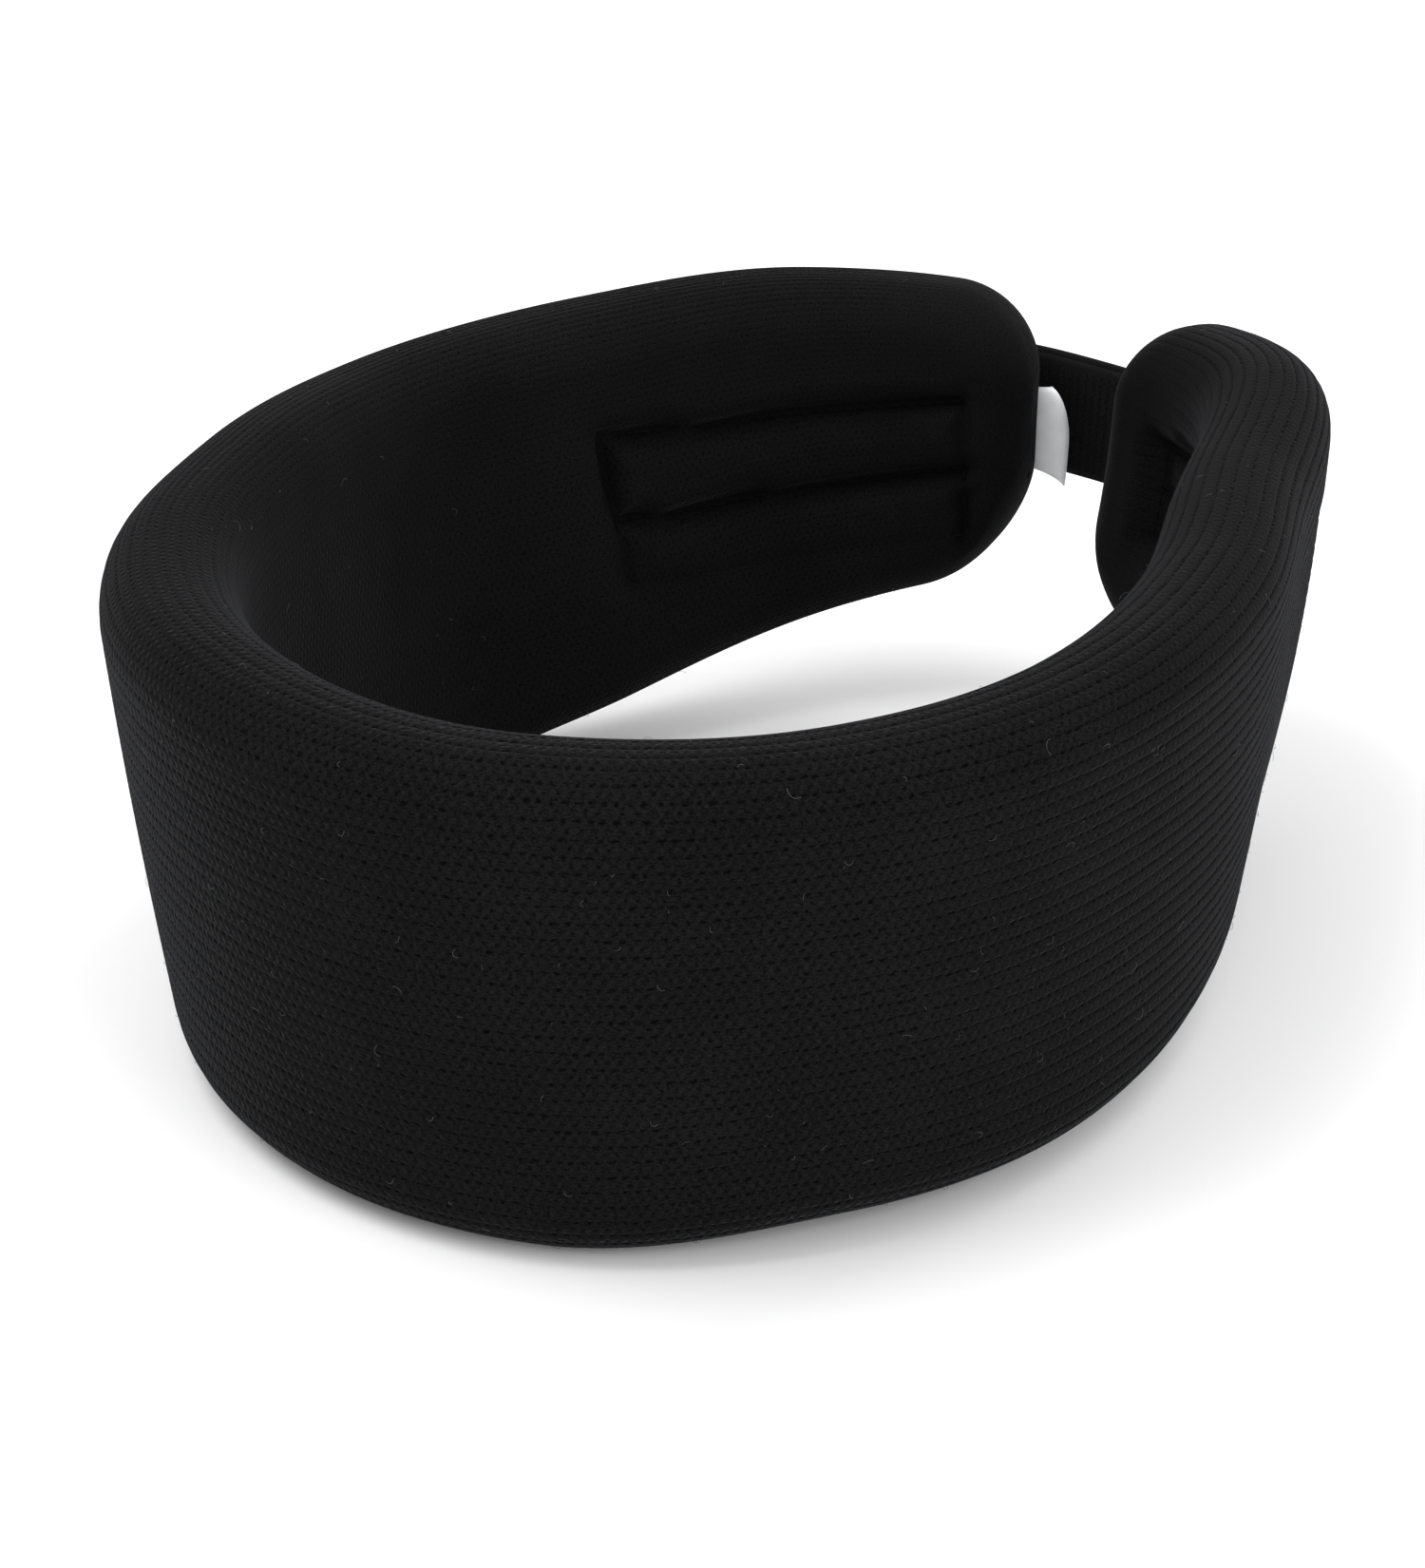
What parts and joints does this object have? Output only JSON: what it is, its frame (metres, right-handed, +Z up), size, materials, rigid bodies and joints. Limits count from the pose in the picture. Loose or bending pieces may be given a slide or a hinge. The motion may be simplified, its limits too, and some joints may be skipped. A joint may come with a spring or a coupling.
{
  "type": "cervical collar",
  "caption": "Soft foam neck collar in a black ribbed knit cover, curled round to a narrow opening that a hook and loop strap closes at the back.",
  "frame": {"origin": "middle of the collar's footprint, on the surface it stands on", "axes": "+Z up, front of the collar towards -Y, opening towards +Y, the end that the strap is sewn to towards +X"},
  "size_m": [0.1724, 0.2174, 0.0755],
  "materials": {
    "foam": "matte",
    "knit": "matte",
    "loop_pile": "matte",
    "thread": "satin",
    "label_satin": "satin",
    "webbing": "matte",
    "hook_plastic": "matte"
  },
  "bodies": {
    "front": {"foam_core_front": "foam", "knit_cover_front": "knit"},
    "left_wing": {"foam_core_left": "foam", "knit_cover_left": "knit", "loop_tape": "loop_pile", "loop_tape_stitch": "thread", "loop_tape_bobbin_stitch": "thread", "end_seam_left": "thread", "care_label": "label_satin"},
    "right_wing": {"foam_core_right": "foam", "knit_cover_right": "knit", "strap_anchor": "webbing", "anchor_stitch": "thread", "anchor_bobbin_stitch": "thread", "end_seam_right": "thread"},
    "strap": {"closure_strap": "webbing", "hook_tape": "hook_plastic", "hook_tape_stitch": "thread"}
  },
  "joints": [
    {"name": "strap_peel", "type": "hinge", "parent": "right_wing", "child": "strap", "pos_m": [0.0264, 0.1004, 0.046], "axis": [-0.0819, -0.1218, -0.9892], "range_deg": [0, 110]},
    {"name": "right_wing_flex", "type": "hinge", "parent": "front", "child": "right_wing", "pos_m": [0.0864, -0.0351, 0.0365], "axis": [0, 0, -1], "range_deg": [0, 27.5], "stiffness_Nm_per_rad": 0.05},
    {"name": "left_wing_flex", "type": "hinge", "parent": "front", "child": "left_wing", "pos_m": [-0.0787, -0.0435, 0.0365], "axis": [0, 0, 1], "range_deg": [0, 27.5], "stiffness_Nm_per_rad": 0.05}
  ],
  "couplings": [
    {"joint": "right_wing_flex", "follows": "strap_peel", "ratio": 0.25},
    {"joint": "left_wing_flex", "follows": "strap_peel", "ratio": 0.25}
  ]
}
